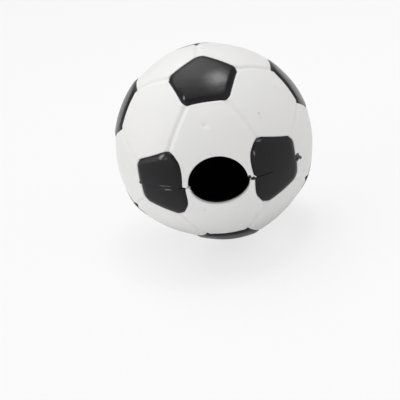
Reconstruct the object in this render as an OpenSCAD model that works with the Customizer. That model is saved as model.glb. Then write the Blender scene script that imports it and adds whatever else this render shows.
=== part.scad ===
// Treat dispensing ball: a hollow pet toy in a football pattern, with one oval hole.
// Two black inner half shells lap together at a level parting plane a little below the ball's middle, and a
// white cover half is bonded over each. Black pentagon panels stand proud in windows of the cover. The plane
// runs through the hole and through four of the panels, which are therefore split into two halves.
// The origin is the ball's centre, +Z is square to the parting plane and -Y points out through the hole.

/* [Ball] */
// Diameter over the raised black panels
ball_d = 90; // [80:1:110]
// Thickness of the white cover
cover_wall = 1.9; // [1.5:0.1:2.6]
// Thickness of the black inner shell
shell_wall = 1.8; // [1.4:0.1:3]

/* [Panels] */
// Distance from a black panel's centre to its corners before they are rounded
panel_r = 15.5; // [13:0.1:16.5]
// Rounding of a black panel's corners
panel_corner_r = 4; // [0.8:0.1:5]
// Height of the black panels above the white cover
panel_rise = 0.9; // [0.3:0.1:1.5]
// Gap round a black panel in its window
panel_gap = 0.15; // [0.1:0.05:0.4]

/* [Grooves] */
// Width of the moulded grooves between the white hexagons
groove_w = 2.8; // [1.2:0.1:4]
// Depth of the moulded grooves
groove_depth = 0.6; // [0.2:0.1:1]

/* [Treat hole] */
// Width of the treat hole along the parting plane
hole_w = 25; // [18:0.5:28]
// Height of the hole's edge above the parting plane
hole_rise = 12.1; // [8:0.1:13]
// Depth of the hole's edge below the parting plane
hole_drop = 9.1; // [7:0.1:13]
// White margin kept between the hole and the two panels beside it
hole_margin = 2; // [1:0.1:4]

/* [Joint] */
// Depth of the parting plane below the ball's middle
parting_drop = 1.2; // [0:0.1:2]
// Height of the lap between the two inner half shells
lap_h = 2.4; // [1.5:0.1:5]
// Gap in the lap, across its wall and at its foot
lap_gap = 0.1; // [0.05:0.05:0.2]
// Hairline between the upper and the lower halves
seam_gap = 0.1; // [0.05:0.05:0.3]
// Film of adhesive under the cover and the panels
bond_gap = 0.1; // [0.05:0.05:0.2]

/* [Hidden] */
$fn = 96;

// How far a cut runs past the face that it cuts
cut_over = 1;

// Radii of the layers, from the panels' crowns inwards
crown_r = ball_d / 2;
cover_r = crown_r - panel_rise;
seat_r = cover_r - cover_wall;
shell_r = seat_r - bond_gap;
chamber_r = shell_r - shell_wall;
lap_r = (shell_r + chamber_r) / 2;

// A half is named by the side of the parting plane that it is on
upper = 1;
lower = -1;

// The panels are centred on the corners of an icosahedron
golden = (1 + sqrt(5)) / 2;
top_front = [0, -1, golden];
top_back = [0, 1, golden];
bottom_front = [0, -1, -golden];
bottom_back = [0, 1, -golden];
left_upper = [-golden, 0, 1];
right_upper = [golden, 0, 1];
left_lower = [-golden, 0, -1];
right_lower = [golden, 0, -1];
front_left = [-1, -golden, 0];
front_right = [1, -golden, 0];
back_left = [-1, golden, 0];
back_right = [1, golden, 0];
panel_places = [
    top_front, top_back, bottom_front, bottom_back, left_upper, right_upper,
    left_lower, right_lower, front_left, front_right, back_left, back_right
];

// Angles of a pentagon, and between two neighbouring panels
corner_step = 72;
corner_half = corner_step / 2;
// Flats that make up each rounded corner's arc, an odd number so that a groove meets the middle of one
corner_steps = 7;
// Flats round the whole ellipse of the hole's edge
hole_steps = 72;
neighbour_angle = atan(2);

function unit(v) = v / norm(v);
function neighbours(a, b) = abs(unit(a) * unit(b) - cos(neighbour_angle)) < 0.01;
function first_neighbour(a) = [for (b = panel_places) if (neighbours(a, b)) b][0];
// A panel is cut by the parting plane, or lies wholly on one side of it
function is_on(a, side) = a[2] * side >= 0;
function is_by_hole(a) = a[1] == -golden;

// Turns a child's Z axis to direction a, and its X axis towards direction b
module aim(a, b) {
    z = unit(a);
    y = unit(cross(z, b));
    x = cross(y, z);
    multmatrix([
        [x[0], y[0], z[0], 0],
        [x[1], y[1], z[1], 0],
        [x[2], y[2], z[2], 0]
    ])
        children();
}

// The space on one side of the parting plane, starting a set distance from it
module half_space(side, start) {
    reach = ball_d + cut_over;
    foot = side == upper ? start : -start - reach;
    translate([-reach / 2, -reach / 2, foot - parting_drop])
        cube(reach);
}

// A hollow ball, with its pole under one of the half's own panels
module layer(inner_r, outer_r, side) {
    pole = side == upper ? top_front : bottom_front;
    aim(pole, first_neighbour(pole))
        difference() {
            sphere(r = outer_r);
            sphere(r = inner_r);
        }
}

// One half's edge of the hole is half of an ellipse whose middle lies on the parting plane
module hole(side, margin) {
    rise = side == upper ? hole_rise : hole_drop;
    reach = [hole_w / 2 + margin, rise + margin];
    start = chamber_r / 2;
    translate([0, -start, -parting_drop])
        rotate([90, 0, 0])
            linear_extrude(height = crown_r + cut_over - start)
                polygon([
                    for (step = [0:hole_steps - 1])
                        let (turn = (step + 0.5) * 360 / hole_steps)
                            [reach[0] * cos(turn), reach[1] * sin(turn)]
                ]);
}

// A pentagon with rounded corners, its first corner on the X axis
module panel_outline(grow) {
    round_r = panel_corner_r + grow;
    centre_r = panel_r - panel_corner_r / cos(corner_half);
    polygon([
        for (i = [0:4])
            for (step = [0:corner_steps])
                let (corner = i * corner_step)
                    let (turn = corner + corner_half * (2 * step / corner_steps - 1))
                        centre_r * [cos(corner), sin(corner)] + round_r * [cos(turn), sin(turn)]
    ]);
}

// The space of a panel through the ball's wall, kept off the hole by the white margin
module panel_space(place, side, grow) {
    foot = sqrt(chamber_r * chamber_r - panel_r * panel_r) - cut_over;
    difference() {
        aim(place, first_neighbour(place))
            translate([0, 0, foot])
                linear_extrude(height = crown_r + cut_over - foot)
                    panel_outline(grow);
        if (is_by_hole(place))
            hole(side, hole_margin - grow);
    }
}

// The groove between two neighbouring panels' facing corners
module groove(a, b) {
    start = asin((panel_r - panel_corner_r) / cover_r);
    flare = groove_w / 2 * (groove_depth + cut_over) / groove_depth;
    aim(cross(a, b), a)
        rotate([0, 0, start])
            rotate_extrude(angle = neighbour_angle - 2 * start)
                polygon([
                    [cover_r - groove_depth, 0],
                    [cover_r + cut_over, -flare],
                    [cover_r + cut_over, flare]
                ]);
}

// The grooves that one cover half carries; the pair beside the hole would have its groove inside the hole
module grooves(side) {
    for (i = [0:len(panel_places) - 2])
        for (j = [i + 1:len(panel_places) - 1]) {
            a = panel_places[i];
            b = panel_places[j];
            in_hole = is_by_hole(a) && is_by_hole(b);
            if (neighbours(a, b) && !in_hole && is_on(a + b, side))
                groove(a, b);
        }
}

// Half of the white layer, with the grooves moulded in
module grooved_half(side) {
    difference() {
        intersection() {
            layer(seat_r, cover_r, side);
            half_space(side, seam_gap / 2);
        }
        grooves(side);
    }
}

// The grooved half, with a window for each panel on it
module windowed_half(side) {
    difference() {
        grooved_half(side);
        for (place = panel_places)
            if (is_on(place, side))
                panel_space(place, side, panel_gap);
    }
}

module cover_half(side) {
    color("whitesmoke")
        difference() {
            windowed_half(side);
            hole(side, 0);
        }
}

module cover_upper() { cover_half(upper); }

module cover_lower() { cover_half(lower); }

// The upper inner shell carries the lap's tongue, on the inside of the wall
module inner_shell_upper() {
    color("dimgray")
        difference() {
            union() {
                intersection() {
                    layer(chamber_r, shell_r, upper);
                    half_space(upper, seam_gap / 2);
                }
                difference() {
                    intersection() {
                        layer(chamber_r, shell_r, upper);
                        translate([0, 0, -parting_drop - lap_h])
                            cylinder(r = lap_r - lap_gap / 2, h = lap_h + seam_gap);
                    }
                    hole(lower, 0);
                }
            }
            hole(upper, 0);
        }
}

// The lower inner shell carries the rebate that takes the tongue
module inner_shell_lower() {
    color("dimgray")
        difference() {
            intersection() {
                layer(chamber_r, shell_r, lower);
                half_space(lower, seam_gap / 2);
            }
            translate([0, 0, -parting_drop - lap_h - lap_gap])
                cylinder(r = lap_r + lap_gap / 2, h = lap_h + lap_gap);
            hole(lower, 0);
        }
}

module panel(place, side) {
    color("#26262a")
        intersection() {
            layer(seat_r, crown_r, side);
            panel_space(place, side, 0);
        }
}

module split_panel(place, side) {
    intersection() {
        panel(place, side);
        half_space(side, seam_gap / 2);
    }
}

module panel_top_front() { panel(top_front, upper); }

module panel_top_back() { panel(top_back, upper); }

module panel_bottom_front() { panel(bottom_front, lower); }

module panel_bottom_back() { panel(bottom_back, lower); }

module panel_left_upper() { panel(left_upper, upper); }

module panel_right_upper() { panel(right_upper, upper); }

module panel_left_lower() { panel(left_lower, lower); }

module panel_right_lower() { panel(right_lower, lower); }

module panel_front_left_upper() { split_panel(front_left, upper); }

module panel_front_left_lower() { split_panel(front_left, lower); }

module panel_front_right_upper() { split_panel(front_right, upper); }

module panel_front_right_lower() { split_panel(front_right, lower); }

module panel_back_left_upper() { split_panel(back_left, upper); }

module panel_back_left_lower() { split_panel(back_left, lower); }

module panel_back_right_upper() { split_panel(back_right, upper); }

module panel_back_right_lower() { split_panel(back_right, lower); }

cover_upper();
cover_lower();
inner_shell_upper();
inner_shell_lower();
panel_top_front();
panel_top_back();
panel_bottom_front();
panel_bottom_back();
panel_left_upper();
panel_right_upper();
panel_left_lower();
panel_right_lower();
panel_front_left_upper();
panel_front_left_lower();
panel_front_right_upper();
panel_front_right_lower();
panel_back_left_upper();
panel_back_left_lower();
panel_back_right_upper();
panel_back_right_lower();
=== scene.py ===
from math import asin, atan, cos, pi, radians, sin, sqrt

import bpy
import numpy as np
from mathutils import Matrix, Vector
from mathutils.geometry import delaunay_2d_cdt


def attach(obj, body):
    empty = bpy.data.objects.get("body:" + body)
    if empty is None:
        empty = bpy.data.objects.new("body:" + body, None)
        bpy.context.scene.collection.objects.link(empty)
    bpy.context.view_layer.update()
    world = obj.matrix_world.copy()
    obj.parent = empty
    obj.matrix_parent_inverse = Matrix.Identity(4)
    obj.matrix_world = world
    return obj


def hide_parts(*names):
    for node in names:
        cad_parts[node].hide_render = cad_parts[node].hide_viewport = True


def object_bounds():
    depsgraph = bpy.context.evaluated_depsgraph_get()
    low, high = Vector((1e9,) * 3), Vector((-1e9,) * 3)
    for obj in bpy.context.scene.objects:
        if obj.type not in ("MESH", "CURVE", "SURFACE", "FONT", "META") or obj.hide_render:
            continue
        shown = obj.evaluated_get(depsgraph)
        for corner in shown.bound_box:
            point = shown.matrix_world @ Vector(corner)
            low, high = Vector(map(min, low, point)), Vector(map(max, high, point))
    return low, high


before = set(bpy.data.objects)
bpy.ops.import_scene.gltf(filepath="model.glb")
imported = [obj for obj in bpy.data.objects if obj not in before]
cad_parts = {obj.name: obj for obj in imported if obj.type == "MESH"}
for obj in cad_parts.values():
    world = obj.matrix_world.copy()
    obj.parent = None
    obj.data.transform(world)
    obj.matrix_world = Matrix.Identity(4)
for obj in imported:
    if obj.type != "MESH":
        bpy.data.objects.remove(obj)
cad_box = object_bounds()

# White cover: two half shells of satin white vinyl, moulded with soft grooves between flattish hexagons and
# a window for each black panel. Both are bonded over the black inner shell and meet a little below the
# ball's middle. The lower half was glued on slightly turned, as its stepped edges show.
mm = 0.001
cover_r = 44.1
cover_wall = 1.9
seat_r = cover_r - cover_wall
# Each half is named by the side of the parting line that it lies on
upper = 1
lower = -1
half_names = {upper: "upper", lower: "lower"}
parting_z = -1.2
lower_turn = radians(0.9)

# The black panels point where the twelve corners of an icosahedron do
golden = (1 + sqrt(5)) / 2
panel_places = {
    "top_front": (0, -1, golden), "top_back": (0, 1, golden),
    "bottom_front": (0, -1, -golden), "bottom_back": (0, 1, -golden),
    "left_upper": (-golden, 0, 1), "right_upper": (golden, 0, 1),
    "left_lower": (-golden, 0, -1), "right_lower": (golden, 0, -1),
    "front_left": (-1, -golden, 0), "front_right": (1, -golden, 0),
    "back_left": (-1, golden, 0), "back_right": (1, golden, 0),
}
panels_by_hole = ("front_left", "front_right")
neighbour_angle = atan(2)
# Directions that differ by less than this count as the same
direction_slack = 0.01

# A panel is a pentagon with rounded corners, and the cover's window is wider by a small gap
panel_r = 15.5
panel_corner_r = 4
panel_cut_corner_r = 4.6
panel_gap = 0.15
corner_step = radians(72)
corner_half = corner_step / 2
corner_centre_r = panel_r - panel_corner_r / cos(corner_half)
# How much larger a single panel came out of its mould, and how far its middle is off its place along the
# panel's own two axes
panel_growth = {
    "top_front": -0.3, "front_left": -0.1, "front_right": 0.35,
    "top_back": 0.1, "left_lower": -0.2, "right_lower": -0.1,
}
panel_shift = {
    "front_left": (0, -0.45), "front_right": (-0.35, 0.2), "top_front": (0.5, 0), "top_back": (0.8, -1.1),
}
# How much a single panel is stretched along its two axes
panel_stretch = {"top_front": (0.94, 1.02)}
# A nick in a panel's edge by the hole, which the cover fills: its depth, and its height off the seam
no_nick = (0, 1)
panel_nick = {("front_right", upper): (1.1, 0.8)}

# The hole is half an ellipse in each half, and the panels beside it keep their margin from its edge
hole_w = 25
hole_rise = {upper: 12.1, lower: 9.1}
hole_margin = {upper: 2.4, lower: 2.0}

# A groove has a soft raised shoulder along each side, and each hexagon is a little flatter than the ball
groove_depth = 0.55
groove_w = 1.9
groove_shoulder = 0.14
groove_shoulder_w = 2.2
# One groove ran to the left of its place
groove_shift = {("top_back", "top_front"): -1.1}
hexagon_flat = 0.3
hexagon_reach = radians(21)


def unit(v):
    v = np.asarray(v, float)
    return v / np.linalg.norm(v, axis=-1, keepdims=True)


centres = {name: unit(place) for name, place in panel_places.items()}


def are_neighbours(a, b):
    return abs(centres[a] @ centres[b] - cos(neighbour_angle)) < direction_slack


def panel_axes(name):
    """Axes with Z out through a panel's middle and X towards its first neighbour."""
    towards = next(centres[b] for b in centres if are_neighbours(name, b))
    z = centres[name]
    y = unit(np.cross(z, towards))
    return np.array([np.cross(y, z), y, z])


axes = {name: panel_axes(name) for name in centres}
groove_pairs = [
    (a, b) for a in centres for b in centres
    if a < b and are_neighbours(a, b) and {a, b} != set(panels_by_hole)
]
hexagon_centres = np.array([
    unit(centres[a] + centres[b] + centres[c])
    for a in centres for b in centres for c in centres
    if a < b < c and are_neighbours(a, b) and are_neighbours(b, c) and are_neighbours(a, c)
])


def joined(a, b, rounding):
    """The distance to where two outlines overlap, with their shared corners rounded."""
    outside = np.hypot(np.maximum(a + rounding, 0), np.maximum(b + rounding, 0))
    return np.minimum(np.maximum(a, b) + rounding, 0) + outside - rounding


least_slope = 1e-6


def hole_distance(p, side, margin=0):
    """How far points are outside one half's edge of the hole, which is half an ellipse."""
    reach_x, reach_z = hole_w / 2 + margin, hole_rise[side] + margin
    x, z = p[:, 0] / reach_x, (p[:, 2] - parting_z) / reach_z
    level = np.hypot(x, z)
    away = level * (level - 1) / np.maximum(np.hypot(x / reach_x, z / reach_z), least_slope)
    return np.where(p[:, 1] < 0, away, cover_r)


def panel_distance(p, name, side):
    """How far points on the ball are outside a panel's outline, negative within it."""
    u, v, w = axes[name] @ p.T
    shift_u, shift_v = panel_shift.get(name, (0, 0))
    stretch_u, stretch_v = panel_stretch.get(name, (1, 1))
    u, v = (u - shift_u) / stretch_u, (v - shift_v) / stretch_v
    from_edge = np.arctan2(v, u) % corner_step - corner_half
    reach = np.hypot(u, v)
    over = reach * np.cos(from_edge) - corner_centre_r * cos(corner_half)
    past = np.abs(reach * np.sin(from_edge)) - corner_centre_r * sin(corner_half)
    away = np.where(over > 0, np.hypot(over, np.maximum(past, 0)), over) - panel_corner_r
    away = away - panel_growth.get(name, 0)
    if name in panels_by_hole:
        depth, height = panel_nick.get((name, side), no_nick)
        margin = hole_margin[side] + depth * np.exp(-((p[:, 2] - parting_z) / height) ** 2)
        away = joined(away, -hole_distance(p, side, margin), panel_cut_corner_r)
    return np.where(w > 0, away, cover_r)


def touches(name, side):
    """Whether a panel lies on one half, at least in part."""
    return centres[name][2] * side > -direction_slack


def is_split(name):
    """Whether a panel lies across the parting line and so is moulded in two halves."""
    return abs(centres[name][2]) < direction_slack


# The seam at the parting line is a hairline, with a few short stretches where the glued edges stand open:
# azimuth from the hole's middle in degrees, half length along the seam and half width
seam_half = 0.003
seam_round = 0.05
seam_openings = [
    (16.6, 0.6, 0.9), (19.2, 0.9, 0.12), (23.2, 1.1, 0.2), (26.6, 0.9, 0.15), (29.0, 0.8, 0.17),
    (-16.6, 0.3, 0.3), (-18.6, 0.5, 0.3), (-22, 0.8, 0.1),
]


def azimuth(p):
    """The angle round the ball from the middle of the hole."""
    return np.arctan2(p[:, 0], -p[:, 1])


opening_bluntness = 3


def seam_open(around):
    """Half the width of the gap along the parting line."""
    gap = np.full(np.shape(around), seam_half)
    for middle, half_length, half_width in seam_openings:
        away = (around - radians(middle)) * cover_r / half_length
        gap = np.maximum(gap, half_width * np.exp(-np.abs(away) ** opening_bluntness))
    return gap


def above_seam(p, side):
    """How far points are inside one half, measured from its edge at the parting line."""
    return side * (p[:, 2] - parting_z) - seam_open(azimuth(p))


seam_step = 0.55
seam_fine_step = 0.14
seam_fine_reach = 1.6
seam_end_room = seam_step / 8
seam_longest_edge = 3 * seam_step


def seam_stations():
    """Azimuths along the parting line, closer together where it stands open."""
    along = [-pi * cover_r]
    while along[-1] < pi * cover_r - seam_step:
        near = any(
            abs(along[-1] - radians(middle) * cover_r) < seam_fine_reach * half_length
            for middle, half_length, _ in seam_openings
        )
        along.append(along[-1] + (seam_fine_step if near else seam_step / 2))
    return np.array(along[1:]) / cover_r


seam_around = seam_stations()


def seam_row(side, offset):
    """The line on the ball that runs a set distance inside one half's edge at the parting line."""
    height = parting_z + side * (seam_open(seam_around) + offset)
    level_r = np.sqrt(cover_r ** 2 - height ** 2)
    return np.stack([level_r * np.sin(seam_around), -level_r * np.cos(seam_around), height], 1)


def on_ball(flat, name, radius):
    """Points at a given radius whose places across a panel's own axis are given."""
    rise = np.sqrt(np.maximum(np.square(radius) - (flat ** 2).sum(1), 0))
    return np.column_stack([flat, rise]) @ axes[name]


ring_stations = 240
ring_halvings = 36
ring_nearest = corner_centre_r / 3
ring_farthest = panel_r * 1.4


def panel_ring(name, side, offset):
    """The closed line that runs a set distance outside a panel's outline, on the ball."""
    around = np.arange(ring_stations) * 2 * pi / ring_stations
    near = np.full(ring_stations, ring_nearest)
    far = np.full(ring_stations, ring_farthest)

    def points(reach):
        flat = np.stack([reach * np.cos(around), reach * np.sin(around)], 1)
        return on_ball(flat, name, cover_r)

    for _ in range(ring_halvings):
        middle = (near + far) / 2
        outside = panel_distance(points(middle), name, side) > offset
        far = np.where(outside, middle, far)
        near = np.where(outside, near, middle)
    return points(near)


hole_stations = 190


def hole_ring(side, offset):
    """The closed line that runs a set distance outside the hole's edge, on the ball."""
    around = (np.arange(hole_stations) + 0.5) * 2 * pi / hole_stations
    reach = np.array([hole_w / 2, hole_rise[side]])
    turn = np.stack([np.sin(around), np.cos(around)], 1)
    x, z = (turn * reach + unit(turn / reach) * offset).T
    z = z + parting_z
    return np.stack([x, -np.sqrt(cover_r ** 2 - x ** 2 - z ** 2), z], 1)


def clipped(line, side):
    """The stretch of a closed line that lies on one half, or None, and whether that is all of the line."""
    room = above_seam(line, side)
    if (room > 0).all():
        return line, True
    if not (room > 0).any():
        return None, False
    first = np.flatnonzero((room > 0) & (np.roll(room, 1) <= 0))[0]
    line, room = np.roll(line, -first, 0), np.roll(room, -first)
    count = np.flatnonzero(room <= 0)[0]

    def crossing(kept, dropped):
        share = room[kept] / (room[kept] - room[dropped])
        return line[kept] + share * (line[dropped] - line[kept])

    return np.vstack([crossing(0, -1), line[:count], crossing(count - 1, count)]), False


def round_rows(radius, steps):
    """Offsets from an edge at which a quarter round of that radius has its rows."""
    return [radius * (1 - cos(pi / 2 * i / steps)) for i in range(steps + 1)]


def round_drop(offset, radius):
    """How far a quarter round of that radius lies below the surface, at an offset from the edge."""
    left = np.clip(radius - offset, 0, radius)
    return radius - np.sqrt(radius ** 2 - left ** 2)


chunk_size = 2000


def enclosed(points, starts, ends):
    """Which flat points lie inside closed outlines, given as edges, by counting crossings."""
    found = np.zeros(len(points), bool)
    for chunk in np.array_split(np.arange(len(points)), 1 + len(points) // chunk_size):
        x, y = points[chunk, 0, None], points[chunk, 1, None]
        spans = (starts[:, 1] > y) != (ends[:, 1] > y)
        rise = np.where(ends[:, 1] == starts[:, 1], 1, ends[:, 1] - starts[:, 1])
        meets = starts[:, 0] + (y - starts[:, 1]) / rise * (ends[:, 0] - starts[:, 0])
        found[chunk] = (spans & (x < meets)).sum(1) % 2 == 1
    return found


weld_distance = 1e-9


def triangulated(flat, edges):
    """Triangles that join flat points and keep the given edges. Points where edges cross are added."""
    points = [Vector(p) for p in flat.tolist()]
    verts, _, faces, *_ = delaunay_2d_cdt(points, edges, [], 0, weld_distance, False)
    return np.array([tuple(v) for v in verts]), np.array(faces)


def outlined(fences, side, clear):
    """The points and edges that bound a skin: its fences, and the parting line where they end on it."""
    points, edges, ends = [], [], []
    for line in fences:
        line, whole = clipped(line, side)
        if line is None:
            continue
        at = list(range(len(points), len(points) + len(line)))
        points.extend(line)
        edges += list(zip(at, at[1:]))
        if whole:
            edges.append((at[-1], at[0]))
        else:
            ends += [at[0], at[-1]]
    if ends:
        row = seam_row(side, 0)
        row = row[clear(row) > seam_end_room]
        at = ends + list(range(len(points), len(points) + len(row)))
        points.extend(row)
        at.sort(key=lambda i: azimuth(points[i][None])[0])
        for a, b in zip(at, at[1:] + at[:1]):
            is_short = np.linalg.norm(points[a] - points[b]) < seam_longest_edge
            if is_short and clear((points[a] + points[b])[None] / 2)[0] > 0:
                edges.append((a, b))
    return points, edges


def open_edges(faces):
    """The edges that only one face has."""
    around = np.vstack([faces[:, [0, 1]], faces[:, [1, 2]], faces[:, [2, 0]]]).tolist()
    known = {tuple(edge) for edge in around}
    return [(a, b) for a, b in around if (b, a) not in known]


def closed_skin(fences, side, dots, clear, chart, unchart, shaped, dropped, inner_dots):
    """A closed shell on one half. Its outer surface fills the fences and runs through the dots, and walls
    go down from its rim to an inner surface."""
    points, edges = outlined(fences, side, clear)
    flat, faces = triangulated(chart(np.vstack([points, *dots])), edges)
    middles = unchart(flat[faces].mean(1))
    faces = faces[np.minimum(clear(middles), above_seam(middles, side)) > 0]
    outer = shaped(unchart(flat))

    rim = open_edges(faces)
    rim_points = np.unique(rim)
    place = {int(v): i for i, v in enumerate(rim_points)}
    foot = dropped(unchart(flat[rim_points]), outer[rim_points])
    foot_edges = [(place[a], place[b]) for a, b in rim]
    foot_flat = chart(foot)
    below, under = triangulated(np.vstack([foot_flat, chart(inner_dots)]), foot_edges)
    starts, ends = foot_flat[np.array(foot_edges)].transpose(1, 0, 2)
    under = under[enclosed(below[under].mean(1), starts, ends)]
    inner_r = np.linalg.norm(foot[0])
    inner = np.vstack([foot, unit(unchart(below[len(foot):])) * inner_r])

    used = np.unique(faces)
    renumber = np.full(len(flat), -1)
    renumber[used] = np.arange(len(used))
    start = len(used)
    walls = [(renumber[b], renumber[a], start + place[a], start + place[b]) for a, b in rim]
    polygons = renumber[faces].tolist() + (under[:, ::-1] + start).tolist() + walls
    return np.vstack([outer[used], inner]), polygons


crisp_angle = radians(50)


def moulded(points, polygons):
    """A mesh from points in millimetres, smooth but for its crisp edges."""
    mesh = bpy.data.meshes.new("moulded")
    mesh.from_pydata((points * mm).tolist(), [], polygons)
    mesh.update()
    mesh.shade_smooth()
    mesh.set_sharp_from_angle(angle=crisp_angle)
    return mesh


def finished(mesh, node, side, material):
    """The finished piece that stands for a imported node. Those of the lower half get its small turn."""
    if side == lower:
        mesh.transform(Matrix.Rotation(lower_turn, 4, "Z"))
    mesh.materials.clear()
    mesh.materials.append(material)
    piece = bpy.data.objects.new("finished_" + node, mesh)
    bpy.context.scene.collection.objects.link(piece)
    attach(piece, "root")
    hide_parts(node)


def half_chart(side):
    """Flattens one half on to a disc, seen from its own pole, and the way back to the ball."""
    def chart(p):
        d = unit(p)
        return np.stack([d[:, 0], side * d[:, 1]], 1) / (1 + side * d[:, 2:])

    def unchart(flat):
        square = (flat ** 2).sum(1)
        d = np.stack([2 * flat[:, 0], 2 * side * flat[:, 1], side * (1 - square)], 1) / (1 + square)[:, None]
        return d * cover_r

    return chart, unchart


# The camera that took the photograph: how far round from the hole it stood, how far up, and how far it was
# tipped over. Then its distance in millimetres, the picture's width and its focal length in pixels, and the
# pixel on which the ball's middle lies
view_azimuth = radians(1.15)
view_elevation = radians(22.23)
view_roll = radians(-8.95)
camera_away = 383.8
picture_size = 400
focal_pixels = 855
ball_pixel = (213.95, 141.6)
level_right = np.array([cos(view_azimuth), sin(view_azimuth), 0])
level_back = np.array([sin(view_azimuth), -cos(view_azimuth), 0])
view_back = level_back * cos(view_elevation) + np.array([0, 0, sin(view_elevation)])
level_up = np.cross(view_back, level_right)
view_right = level_right * cos(view_roll) + level_up * sin(view_roll)
view_up = np.cross(view_back, view_right)


def pixel_ray(pixel):
    """The line of sight through a pixel, in the camera's own axes."""
    across, down = pixel
    return Vector((across - picture_size / 2, picture_size / 2 - down, -focal_pixels))


# The camera points past the ball, so that the ball's middle comes to lie on its pixel
aimed = Matrix((view_right, view_up, view_back)).transposed()
turned = aimed @ pixel_ray(ball_pixel).rotation_difference(Vector((0, 0, -1))).to_matrix()


def seen_at(pixel):
    """The direction, from the ball's middle, of what the photograph shows at a pixel."""
    ray = unit(turned @ pixel_ray(pixel))
    eye = view_back * camera_away
    near = -ray @ eye
    return unit(eye + ray * (near - sqrt(near ** 2 - eye @ eye + cover_r ** 2)))


def limb_at(degrees_up):
    """The direction to the ball's outline in the photograph, at an angle up from its right-hand side."""
    around = radians(degrees_up)
    towards = cover_r / camera_away
    return (view_right * cos(around) + view_up * sin(around)) * sqrt(1 - towards ** 2) + view_back * towards


# Small moulding marks: the pixel that shows each one, its radius and its height
moulding_marks = {
    "dent_over_hole": ((204, 125.5), 1.2, -0.26),
    "bump_by_dent": ((208.5, 130), 1.2, 0.24),
    "upper_pimple": ((259, 113), 0.6, 0.16),
    "lower_pimple": ((262, 117), 0.7, 0.18),
    "pinhole": ((276, 87), 0.35, -0.2),
    "left_sink_under_hole": ((205, 210), 1.1, -0.2),
    "right_sink_under_hole": ((236, 217), 1.3, -0.16),
    "blister_by_groove": ((162, 134), 2.0, 0.22),
}
mark_spots = [(seen_at(pixel), radius, height) for pixel, radius, height in moulding_marks.values()]
# Broad unevenness of the moulding: middle, radius and height. The first is a hexagon that sank in cooling
swells = [
    (limb_at(-102), 13, -1.85), (limb_at(-84), 13, 0.25), (limb_at(-150), 13, 0.55),
    (limb_at(180), 8, -0.4), (limb_at(132), 10, -0.7), (limb_at(105), 9, -0.4), (limb_at(84), 8, -0.4),
    (limb_at(66), 17, -0.9), (limb_at(48), 8, -0.3), (limb_at(18), 13, -0.65),
]


def raised(d, spots, bluntness=2):
    """How much soft round spots add up to in some directions. Each has a middle, a radius and an amount."""
    total = 0
    for middle, radius, amount in spots:
        away = np.linalg.norm(d - middle, axis=1) * cover_r
        total = total + amount * np.exp(-(away / radius) ** bluntness)
    return total


def groove_distance(d):
    """Distance across the ball to the nearest groove's middle line."""
    nearest = np.full(len(d), cover_r)
    half_length = (neighbour_angle / 2) * cover_r - corner_centre_r
    for a, b in groove_pairs:
        across = np.arcsin(np.clip(d @ unit(np.cross(centres[a], centres[b])), -1, 1)) * cover_r
        across = across - groove_shift.get((a, b), 0)
        middle = unit(centres[a] + centres[b])
        along = np.arcsin(np.clip(d @ unit(centres[b] - centres[a]), -1, 1)) * cover_r
        away = np.hypot(across, np.maximum(np.abs(along) - half_length, 0))
        nearest = np.minimum(nearest, np.where(d @ middle > 0, away, cover_r))
    return nearest


# Grooves that came out fainter or stronger: middle, radius and share of the depth that is added
groove_changes = [
    (unit(centres["front_left"] + centres["left_upper"]), 10, -0.65),
    (unit(centres["top_front"] + centres["front_right"]), 10, 0.1),
    (unit(centres["top_front"] + centres["right_upper"]), 10, 0.3),
]
groove_change_bluntness = 4
# The windows and the hole have rounded edges, and a fine lip of white runs round each window
window_round = 0.3
hole_round = 0.6
lip_height = 0.1
lip_place = 0.75
lip_w = 0.45


def window_distance(p, side):
    """Distance outside the nearest window, and which window that is."""
    names = [name for name in centres if touches(name, side)]
    away = np.array([panel_distance(p, name, side) - panel_gap for name in names])
    return away.min(0), [names[i] for i in away.argmin(0)]


def cover_clear(side):
    """Measures how far points of one half are from its windows and the hole."""
    return lambda p: np.minimum(window_distance(p, side)[0], hole_distance(p, side))


def cover_shaped(side):
    """Gives points of the cover's outer surface their height."""
    def shaped(p):
        d = unit(p)
        window = np.maximum(window_distance(p, side)[0], 0)
        hole = np.maximum(hole_distance(p, side), 0)
        groove = groove_distance(d)
        from_middle = np.arccos(np.clip((d @ hexagon_centres.T).max(1), -1, 1))
        radius = cover_r - hexagon_flat * np.maximum(1 - (from_middle / hexagon_reach) ** 2, 0)
        depth = groove_depth * (1 + raised(d, groove_changes, groove_change_bluntness))
        radius = radius - depth * np.exp(-(groove / (groove_w / 2)) ** 2)
        radius = radius + groove_shoulder * np.exp(-((groove - groove_w) / (groove_shoulder_w / 2)) ** 2)
        radius = radius + lip_height * np.exp(-((window - lip_place) / lip_w) ** 2)
        radius = radius - round_drop(window, window_round) - round_drop(hole, hole_round)
        radius = radius - round_drop(np.maximum(above_seam(p, side), 0), seam_round)
        radius = radius + raised(d, swells) + raised(d, mark_spots)
        return d * radius[:, None]
    return shaped


def slid_to(p, direction, radius):
    """Points moved along a direction, inwards, until they are at a radius."""
    along = (p * direction).sum(1)
    return p - direction * (along - np.sqrt(along ** 2 - (p ** 2).sum(1) + radius ** 2))[:, None]


on_edge = 0.05


def cover_dropped(side):
    """Takes the rim down to the seat: straight in at a window and at the hole, level at the parting line."""
    def dropped(p, outer):
        window, names = window_distance(p, side)
        level = unit(p * (1, 1, 0))
        direction = np.where((hole_distance(p, side) < on_edge)[:, None], (0, -1, 0), level)
        by_window = np.array([centres[name] for name in names])
        direction = np.where((np.abs(window) < on_edge)[:, None], by_window, direction)
        return slid_to(outer, direction, seat_r)
    return dropped


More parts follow.
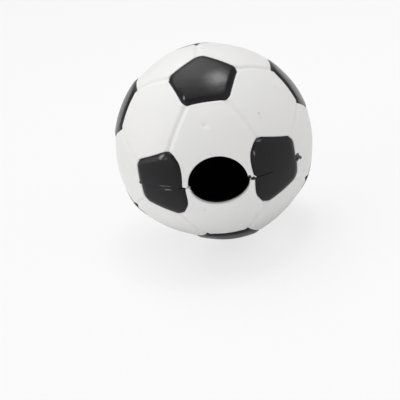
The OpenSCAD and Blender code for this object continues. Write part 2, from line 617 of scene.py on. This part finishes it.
def spread(spacing):
    """Points spread evenly over the ball along a spiral, a set distance apart."""
    count = int(4 * pi * cover_r ** 2 / (spacing ** 2 * sqrt(3) / 2))
    level = 1 - (np.arange(count) + 0.5) * 2 / count
    around = np.arange(count) * pi * (3 - sqrt(5))
    flat_r = np.sqrt(1 - level ** 2)
    return np.stack([flat_r * np.cos(around), flat_r * np.sin(around), level], 1) * cover_r


# The cover's mesh has rows of points at these offsets from grooves and edges, and an even fill between them
fill_step = 0.9
groove_rows = (0, 0.25, -0.25, 0.5, -0.5, 0.8, -0.8, 1.15, -1.15, 1.6, -1.6, 2.1, -2.1)
groove_station = 0.6
window_rows = round_rows(window_round, 4)[1:] + [0.52, 0.75, 1.0, 1.35]
hole_rows = round_rows(hole_round, 5)[1:] + [0.85, 1.2]
seam_rows = round_rows(seam_round, 3)[1:] + [0.11, 0.22, 0.4, 0.68, 1.05]


def groove_dots():
    """Points in rows along the grooves."""
    lines = []
    half_angle = neighbour_angle / 2 - asin(corner_centre_r / cover_r)
    along = np.linspace(-half_angle, half_angle, int(2 * half_angle * cover_r / groove_station))
    for a, b in groove_pairs:
        middle, forward = unit(centres[a] + centres[b]), unit(centres[b] - centres[a])
        sideways = np.cross(middle, forward)
        line = np.cos(along)[:, None] * middle + np.sin(along)[:, None] * forward
        for row in np.array(groove_rows) + groove_shift.get((a, b), 0):
            lines.append((cos(row / cover_r) * line + sin(row / cover_r) * sideways) * cover_r)
    return np.vstack(lines)


mark_step = 0.22
mark_reach = 1.6


def near_marks(p, room):
    """Which points lie on a moulding mark or within some room round it."""
    away = [np.linalg.norm(unit(p) - middle, axis=1) * cover_r for middle, _, _ in mark_spots]
    reach = [mark_reach * radius + room for _, radius, _ in mark_spots]
    return np.any(np.array(away) < np.array(reach)[:, None], 0)


# A point beside one edge keeps this share of its offset from every other edge
offset_share = 0.4
seam_room = 0.02
edge_room = 0.03


def dots_by_edges(rings, seam_offsets, clear, side):
    """Points on rings beside a skin's edges, given with their offsets, and in rows beside the seam."""
    rows = []
    for offset, line in rings:
        rows.append(line[(above_seam(line, side) > seam_room) & (clear(line) > offset_share * offset)])
    for offset in seam_offsets:
        line = seam_row(side, offset)
        rows.append(line[clear(line) > edge_room])
    return rows


mark_room = 0.1
fill_share = 0.45
inner_step = 2.6
cover_inner_room = 2


def cover_half(side):
    """The mesh of one half of the cover."""
    clear = cover_clear(side)
    names = [name for name in centres if touches(name, side)]
    fences = [panel_ring(name, side, panel_gap) for name in names] + [hole_ring(side, 0)]
    rings = [
        (offset, panel_ring(name, side, panel_gap + offset)) for name in names for offset in window_rows
    ]
    rings += [(offset, hole_ring(side, offset)) for offset in hole_rows]
    dots = dots_by_edges(rings, seam_rows, clear, side)

    fine = spread(mark_step)
    fine = fine[near_marks(fine, 0)]
    dots.append(fine[np.minimum(clear(fine), above_seam(fine, side)) > mark_room])

    plain = spread(fill_step)
    plain = plain[~near_marks(plain, fill_step * offset_share)]
    away = np.min([
        window_distance(plain, side)[0] - window_rows[-1],
        hole_distance(plain, side) - hole_rows[-1],
        above_seam(plain, side) - seam_rows[-1],
        groove_distance(unit(plain)) - max(groove_rows),
    ], 0)
    dots.append(plain[away > fill_step * fill_share])

    grooves = groove_dots()
    away = window_distance(grooves, side)[0] - window_rows[-1]
    away = np.minimum(away, above_seam(grooves, side) - seam_rows[-1])
    dots.append(grooves[away > groove_station * offset_share])

    inner = spread(inner_step)
    inner = inner[np.minimum(clear(inner), above_seam(inner, side)) > cover_inner_room]
    chart, unchart = half_chart(side)
    return moulded(*closed_skin(
        fences, side, dots, clear, chart, unchart, cover_shaped(side), cover_dropped(side), inner
    ))


class Wire:
    """A shader socket. Sums on it add Math nodes, and node() adds a node of any other kind."""

    def __init__(self, tree, socket=None):
        self.tree = tree
        self.socket = socket

    def node(self, kind, settings=None, sockets=None, out=0):
        """Adds a node with its settings and the values or links of its sockets, and gives one output."""
        made = self.tree.nodes.new("ShaderNode" + kind)
        for name, value in (settings or {}).items():
            setattr(made, name, value)
        for name, value in (sockets or {}).items():
            self.feed(made.inputs[name], value)
        return Wire(self.tree, made.outputs[out])

    def feed(self, target, value):
        """Links a wire to a socket, or sets the socket to a plain value."""
        if isinstance(value, Wire):
            self.tree.links.new(value.socket, target)
        else:
            target.default_value = value

    def maths(self, operation, a, b):
        return self.node("Math", {"operation": operation}, {0: a, 1: b})

    def __add__(self, other):
        return self.maths("ADD", self, other)

    def __radd__(self, other):
        return self.maths("ADD", other, self)

    def __sub__(self, other):
        return self.maths("SUBTRACT", self, other)

    def __rsub__(self, other):
        return self.maths("SUBTRACT", other, self)

    def __mul__(self, other):
        return self.maths("MULTIPLY", self, other)

    def __rmul__(self, other):
        return self.maths("MULTIPLY", other, self)

    def vectors(self, operation, sockets, out=0):
        return self.node("VectorMath", {"operation": operation}, sockets, out)

    def noise(self, places, scale, detail=2, roughness=0.5):
        """Noise whose features are about one over scale metres across."""
        sockets = {"Vector": places, "Scale": scale, "Detail": detail, "Roughness": roughness}
        return self.node("TexNoise", {"noise_dimensions": "3D"}, sockets)

    def step(self, value, start, end):
        """Goes smoothly from 0 to 1 as the value goes from start to end."""
        sockets = {"Value": value, "From Min": start, "From Max": end}
        return self.node("MapRange", {"interpolation_type": "SMOOTHSTEP"}, sockets)

    def near(self, places, middle, reach, core):
        """Fades from 1 in the core of an ellipsoid around a place to 0 a little outside it, sizes in mm."""
        middle, reach = (tuple(np.array(v) * mm) for v in (middle, reach))
        away = self.vectors("SUBTRACT", {0: places, 1: middle})
        away = self.vectors("DIVIDE", {0: away, 1: reach})
        little_outside = 1.15
        return self.step(self.vectors("LENGTH", {0: away}, "Value"), little_outside, core)

    def streaks(self, places, along, scale):
        """Noise that is drawn out along one direction, for scratches and painted glints."""
        drawn_out = 0.86
        reach = self.vectors("DOT_PRODUCT", {0: places, 1: along}, "Value")
        drawn = self.vectors("SCALE", {0: along, "Scale": reach * drawn_out})
        return self.noise(self.vectors("SUBTRACT", {0: places, 1: drawn}), scale, detail=3, roughness=0.6)

    def blend(self, share, a, b):
        """One colour turning into another. The Mix node takes them at 6 and 7 and gives them out at 2."""
        return self.node("Mix", {"data_type": "RGBA"}, {0: share, 6: a, 7: b}, out=2)


def new_finish(name, constants):
    """A material, the wire that starts its nodes, its shader and its places in metres."""
    material = bpy.data.materials.new(name)
    material.use_nodes = True
    tree = material.node_tree
    shader = tree.nodes["Principled BSDF"]
    for socket, value in constants.items():
        shader.inputs[socket].default_value = value
    start = Wire(tree)
    places = start.node("TexCoord", out="Object")
    return material, start, shader, places


def dress(start, shader, colour, roughness, relief, bump_strength):
    """Feeds a finish's colour, roughness and fine relief, in metres, to its shader."""
    start.feed(shader.inputs["Base Color"], colour)
    start.feed(shader.inputs["Roughness"], roughness)
    bump = start.node("Bump", sockets={"Strength": bump_strength, "Distance": 1, "Height": relief})
    start.feed(shader.inputs["Normal"], bump)


white_shades = ((0.81, 0.805, 0.80, 1), (0.835, 0.825, 0.818, 1))
scuffed_white = (0.70, 0.69, 0.675, 1)
scuff_strength = 0.25
glue_black = (0.008, 0.008, 0.009, 1)
# Black glue that squeezed out of the joint on to the white: azimuth in degrees, height off the parting line,
# half length and half width
glue_beads = [
    (16.9, 0.5, 0.8, 1.3), (17.8, -0.1, 1.2, 0.65), (18.95, -0.1, 0.8, 0.8), (50.4, 0.5, 1.6, 1.5),
    (50.4, -0.6, 1.3, 0.9), (52.6, -0.6, 1.1, 0.7), (54.0, -1.4, 0.9, 0.55), (-18.9, -0.3, 0.9, 0.75),
    (-47.4, 0.1, 0.7, 0.6),
]
bead_core = 0.85
# Small darker spots at moulding marks: the pixel that shows each one, its radius, how strong it is and its
# colour
dark_spots = {
    "grey_pinhole": ((276, 87), 0.5, 0.9, (0.45, 0.45, 0.44, 1)),
    "upper_pimple": ((259, 113), 0.8, 0.7, (0.62, 0.56, 0.56, 1)),
    "round_lower_pimple": ((260.5, 117), 1.3, 0.45, (0.79, 0.72, 0.71, 1)),
    "dent_over_hole": ((203.5, 125), 1.0, 0.45, (0.68, 0.67, 0.66, 1)),
    "sink_under_hole": ((205, 210.5), 1.0, 0.35, (0.68, 0.66, 0.65, 1)),
}
dark_spot_core = 0.4


def beside_seam(azimuth_degrees, rise):
    """A place on the ball at a height off the parting line."""
    around, height = radians(azimuth_degrees), parting_z + rise
    level_r = sqrt(cover_r ** 2 - height ** 2)
    return level_r * sin(around), -level_r * cos(around), height


def white_vinyl():
    """Satin white, faintly cloudy and scuffed, with small darker spots at its moulding marks and beads of
    black glue.
    """
    material, start, shader, places = new_finish("white_vinyl", {"IOR": 1.5})
    clouds = start.noise(places, scale=28, detail=3)
    mottle = start.noise(places, scale=160, detail=4, roughness=0.6)
    colour = start.blend(start.step(clouds, 0.35, 0.7), *white_shades)
    scuffs = start.step(start.noise(places, scale=420, detail=5, roughness=0.7), 0.66, 0.8)
    colour = start.blend(scuffs * scuff_strength, colour, scuffed_white)
    for pixel, radius, strength, spot_colour in dark_spots.values():
        mask = start.near(places, seen_at(pixel) * cover_r, (radius, radius, radius), dark_spot_core)
        colour = start.blend(mask * strength, colour, spot_colour)
    for around, rise, half_length, half_width in glue_beads:
        reach = (half_length, half_length, half_width)
        mask = start.near(places, beside_seam(around, rise), reach, bead_core)
        colour = start.blend(mask, colour, glue_black)
    ripples = start.noise(places, scale=190)
    grain = start.noise(places, scale=1500)
    relief = ripples * (0.1 * mm) + grain * (0.006 * mm)
    roughness = 0.42 + 0.12 * mottle + 0.15 * scuffs
    dress(start, shader, colour, roughness, relief, bump_strength=0.5)
    return material


white_finish = white_vinyl()
for side in (upper, lower):
    finished(cover_half(side), "cover_" + half_names[side], side, white_finish)

# Black panels: twelve separate pentagons of satin black vinyl with softly rounded shoulders, set in the
# cover's windows and bonded to the inner shell. The four that lie across the parting line are moulded in two
# halves, and the two beside the hole are cut back along its arc.
crown_r = 44.8
# How far a panel's shoulder falls from its crown, how wide it is and how sharply it bends
shoulder_h = 0.5
shoulder_w = 2.4
shoulder_bend = 1.7
# The last bit of a panel rolls down into its window
edge_h = 0.9
edge_w = 0.36
shoulder_rows = (0.07, 0.15, 0.23, 0.31, 0.38, 0.6, 0.95, 1.35, 1.7, 2.0, 2.25, 2.45, 2.9, 3.5)
crease_round = 0.04
crease_rows = round_rows(crease_round, 3)[1:] + [0.25, 0.5, 0.85, 1.4]
panel_fill_step = 1.0
panel_inner_room = 1.5
# A panel is a little flatter than the ball: how far its middle is sunk, and its half width
panel_flat = 0.45
panel_half_w = 12.5
# How much deeper a single panel sits in its window
panel_sunk = {"top_back": 0.4, "right_upper": 0.3, "left_upper": 0.2, "right_lower": 0.1}


def panel_half(name, side):
    """The mesh of a panel's piece on one half, which is the whole panel where it isn't split."""
    def clear(p):
        return -panel_distance(p, name, side)

    def chart(p):
        return (p @ axes[name].T)[:, :2]

    def unchart(flat):
        return on_ball(flat, name, cover_r)

    def shaped(p):
        inside = np.maximum(clear(p), 0)
        from_middle = np.linalg.norm(chart(p), axis=1)
        radius = crown_r - panel_sunk.get(name, 0)
        radius = radius - shoulder_h * np.clip(1 - inside / shoulder_w, 0, 1) ** shoulder_bend
        radius = radius - edge_h * np.clip(1 - inside / edge_w, 0, 1) ** 2
        radius = radius - panel_flat * np.maximum(1 - (from_middle / panel_half_w) ** 2, 0)
        radius = radius - round_drop(np.maximum(above_seam(p, side), 0), crease_round)
        radius = radius + raised(unit(p), swells)
        return on_ball(chart(p), name, radius)

    def dropped(p, outer):
        return on_ball(chart(outer), name, seat_r)

    rings = [(offset, panel_ring(name, side, -offset)) for offset in shoulder_rows]
    dots = dots_by_edges(rings, crease_rows, clear, side)
    plain = spread(panel_fill_step)
    away = np.minimum(clear(plain) - shoulder_rows[-1], above_seam(plain, side) - crease_rows[-1])
    dots.append(plain[away > panel_fill_step * offset_share])
    inner = spread(inner_step)
    inner = inner[np.minimum(clear(inner), above_seam(inner, side)) > panel_inner_room]
    return moulded(*closed_skin(
        [panel_ring(name, side, 0)], side, dots, clear, chart, unchart, shaped, dropped, inner
    ))


black_shades = ((0.006, 0.0055, 0.007, 1), (0.0095, 0.0085, 0.0105, 1))
# Light grey for the scratches and for the painted glints
scratch_and_glint_grey = (0.24, 0.24, 0.245, 1)
# Light scratches on the panels, and painted highlights (glints) drawn as light streaks on some panel corners
# and
#  edges: the pixel that shows the middle of each, its reach in millimetres, its direction, how strong it is,
#      and the scale of its streaks
scratches_and_glints = {
    "upper_pair_front_left": ((165.5, 185.8), (3.4, 3.4, 0.42), (0.9, -0.43, 0.0), 0.45, 1100),
    "lower_pair_front_left": ((167, 189.3), (2.9, 2.9, 0.42), (0.9, -0.43, 0.0), 0.75, 1100),
    # Painted highlights: glints on panel corners and along the right-hand front panel's edge
    "glint_corner_front_left": ((163, 157), (2.2, 2.2, 1.5), (0.72, -0.1, 0.69), 1.0, 700),
    "glint_corner_top_front": ((184.4, 98.5), (0.5, 1.2, 1.2), (0.1, 0.3, 0.95), 1.0, 700),
    "glint_edge_front_right": ((253.2, 151), (0.4, 0.4, 3.0), (0.1, -0.1, 0.95), 0.8, 700),
    "glint_corner_front_right": ((259, 140.8), (2.0, 1.2, 0.4), (0.8, 0.4, 0.3), 0.6, 700),
}
scratch_and_glint_core = 0.3
streak_edges = (0.43, 0.57)


def black_vinyl():
    """Satin black, faintly cloudy, with fine ripples, a few light scratches and painted glints on some
    corners and edges.
    """
    material, start, shader, places = new_finish("black_vinyl", {"IOR": 1.5, "Specular IOR Level": 0.245})
    clouds = start.noise(places, scale=45, detail=3)
    grain = start.noise(places, scale=900, detail=4, roughness=0.65)
    colour = start.blend(start.step(clouds, 0.3, 0.7), *black_shades)
    # Light scratches, and painted highlights drawn as streaks where panel corners and edges catch the light
    for pixel, reach, along, strength, scale in scratches_and_glints.values():
        mask = start.near(places, seen_at(pixel) * crown_r, reach, scratch_and_glint_core)
        streaked = start.step(start.streaks(places, tuple(unit(along)), scale), *streak_edges)
        colour = start.blend(mask * streaked * strength, colour, scratch_and_glint_grey)
    ripples = start.noise(places, scale=210)
    fine = start.noise(places, scale=1300, detail=3)
    relief = ripples * (0.12 * mm) + fine * (0.008 * mm)
    roughness = 0.15 + 0.10 * clouds + 0.07 * grain
    dress(start, shader, colour, roughness, relief, bump_strength=0.6)
    return material


black_finish = black_vinyl()
for name in centres:
    for side in (upper, lower):
        if touches(name, side):
            ending = "_" + half_names[side] if is_split(name) else ""
            finished(panel_half(name, side), "panel_" + name + ending, side, black_finish)

# Inner shells: two plain half shells of matt black plastic that lap together under the parting line. They
# show at the hole's edge, inside it, and as black in the open stretches of the parting line.
shell_shades = ((0.004, 0.004, 0.004, 1), (0.007, 0.0068, 0.0065, 1))


def matt_black():
    """Matt black plastic, a little uneven in colour and gloss."""
    material, start, shader, places = new_finish("matt_black", {"IOR": 1.45})
    clouds = start.noise(places, scale=90, detail=3)
    colour = start.blend(clouds, *shell_shades)
    dress(start, shader, colour, 0.62 + 0.2 * clouds, clouds * (0.15 * mm), bump_strength=0.5)
    return material


shell_finish = matt_black()
for side in (upper, lower):
    node = "inner_shell_" + half_names[side]
    finished(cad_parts[node].data.copy(), node, side, shell_finish)

# Studio: a plain pale floor under the ball inside a white tent that glows softly, most of all from above and
# from the left. A softbox overhead, a fill lamp and a low window give the black panels their highlights. The
# camera is at the photograph's viewing angle. Sizes and distances here are in metres.
floor_z = cad_box[0][2]
floor_half = 10
floor_mesh = bpy.data.meshes.new("floor")
corners = [(x * floor_half, y * floor_half, floor_z) for x, y in ((-1, -1), (1, -1), (1, 1), (-1, 1))]
floor_mesh.from_pydata(corners, [], [(0, 1, 2, 3)])
floor = bpy.data.objects.new("floor", floor_mesh)
bpy.context.scene.collection.objects.link(floor)
plain_white = (1, 1, 1, 1)
# Mirrored rays see this share of the plain white that the camera sees
mirrored_share = 0.2


def shown_white(start):
    """How much of the plain white background a ray is shown."""
    camera_ray = start.node("LightPath", out="Is Camera Ray")
    glossy_ray = start.node("LightPath", out="Is Glossy Ray")
    glass_ray = start.node("LightPath", out="Is Transmission Ray")
    return start.maths("MINIMUM", camera_ray + (glossy_ray + glass_ray) * mirrored_share, 1)


floor_albedo = 0.82
floor_glow = 0.72


def pale_floor():
    """A pale matt floor, of which the camera sees a good part as plain white."""
    albedo = (floor_albedo, floor_albedo, floor_albedo, 1)
    material, start, shader, _ = new_finish("pale_floor", {"Base Color": albedo, "Roughness": 0.9})
    white = start.node("Emission", sockets={"Color": plain_white, "Strength": 1})
    matt = Wire(start.tree, shader.outputs["BSDF"])
    mixed = start.node("MixShader", sockets={0: shown_white(start) * floor_glow, 1: matt, 2: white})
    start.feed(start.tree.nodes["Material Output"].inputs["Surface"], mixed)
    return material


floor_mesh.materials.append(pale_floor())

# Soft square lamps that face the ball: direction, distance, width and power in watts
lamps = {
    "softbox": ((0.155, 0.08, 0.984), 0.8, 0.16, 1.15),
    "fill": ((-0.52, 0.15, 0.84), 0.8, 0.2, 0.25),
    "window": ((0.45, -0.88, 0.04), 1.0, 0.06, 0.2),
}
for name, (direction, away, width, power) in lamps.items():
    light = bpy.data.lights.new(name, "AREA")
    light.size = width
    light.energy = power
    lamp = bpy.data.objects.new(name, light)
    bpy.context.scene.collection.objects.link(lamp)
    towards = Vector(unit(direction))
    lamp.location = towards * away
    lamp.rotation_euler = towards.to_track_quat("Z", "Y").to_euler()

# The tent's glow: an even share, and broad patches with their direction, narrowness and strength
tent_even = 0.045
tent_patches = {
    "left": ((-1, -0.35, 0), 5, 2.68),
    "right": ((1, -0.3, 0.3), 3, 0.85),
    "front": ((0, -0.93, 0.37), 2, 0.37),
    "back": ((0, 1, 0.2), 2, 0.3),
    "above": ((-0.14, 0.34, 0.93), 16, 4.05),
}
world = bpy.data.worlds.new("tent")
bpy.context.scene.world = world
world.use_nodes = True
background = world.node_tree.nodes["Background"]
background.inputs["Color"].default_value = plain_white
tent = Wire(world.node_tree)
looked = tent.node("TexCoord", out="Generated")
glow = tent_even
for direction, narrowness, strength in tent_patches.values():
    facing = tent.vectors("DOT_PRODUCT", {0: looked, 1: tuple(unit(direction))}, "Value")
    glow = glow + strength * tent.maths("POWER", tent.maths("MAXIMUM", facing, 0), narrowness)
white_share = shown_white(tent)
tent.feed(background.inputs["Strength"], glow * (1 - white_share) + white_share)

sensor_width = 36
near_clip = 0.01
camera_data = bpy.data.cameras.new("camera")
camera_data.sensor_width = sensor_width
camera_data.lens = sensor_width * focal_pixels / picture_size
camera_data.clip_start = near_clip
camera = bpy.data.objects.new("camera", camera_data)
bpy.context.scene.collection.objects.link(camera)
camera.matrix_world = Matrix.Translation(Vector(view_back * camera_away * mm)) @ turned.to_4x4()
bpy.context.scene.camera = camera
bpy.context.scene.view_settings.view_transform = "Standard"
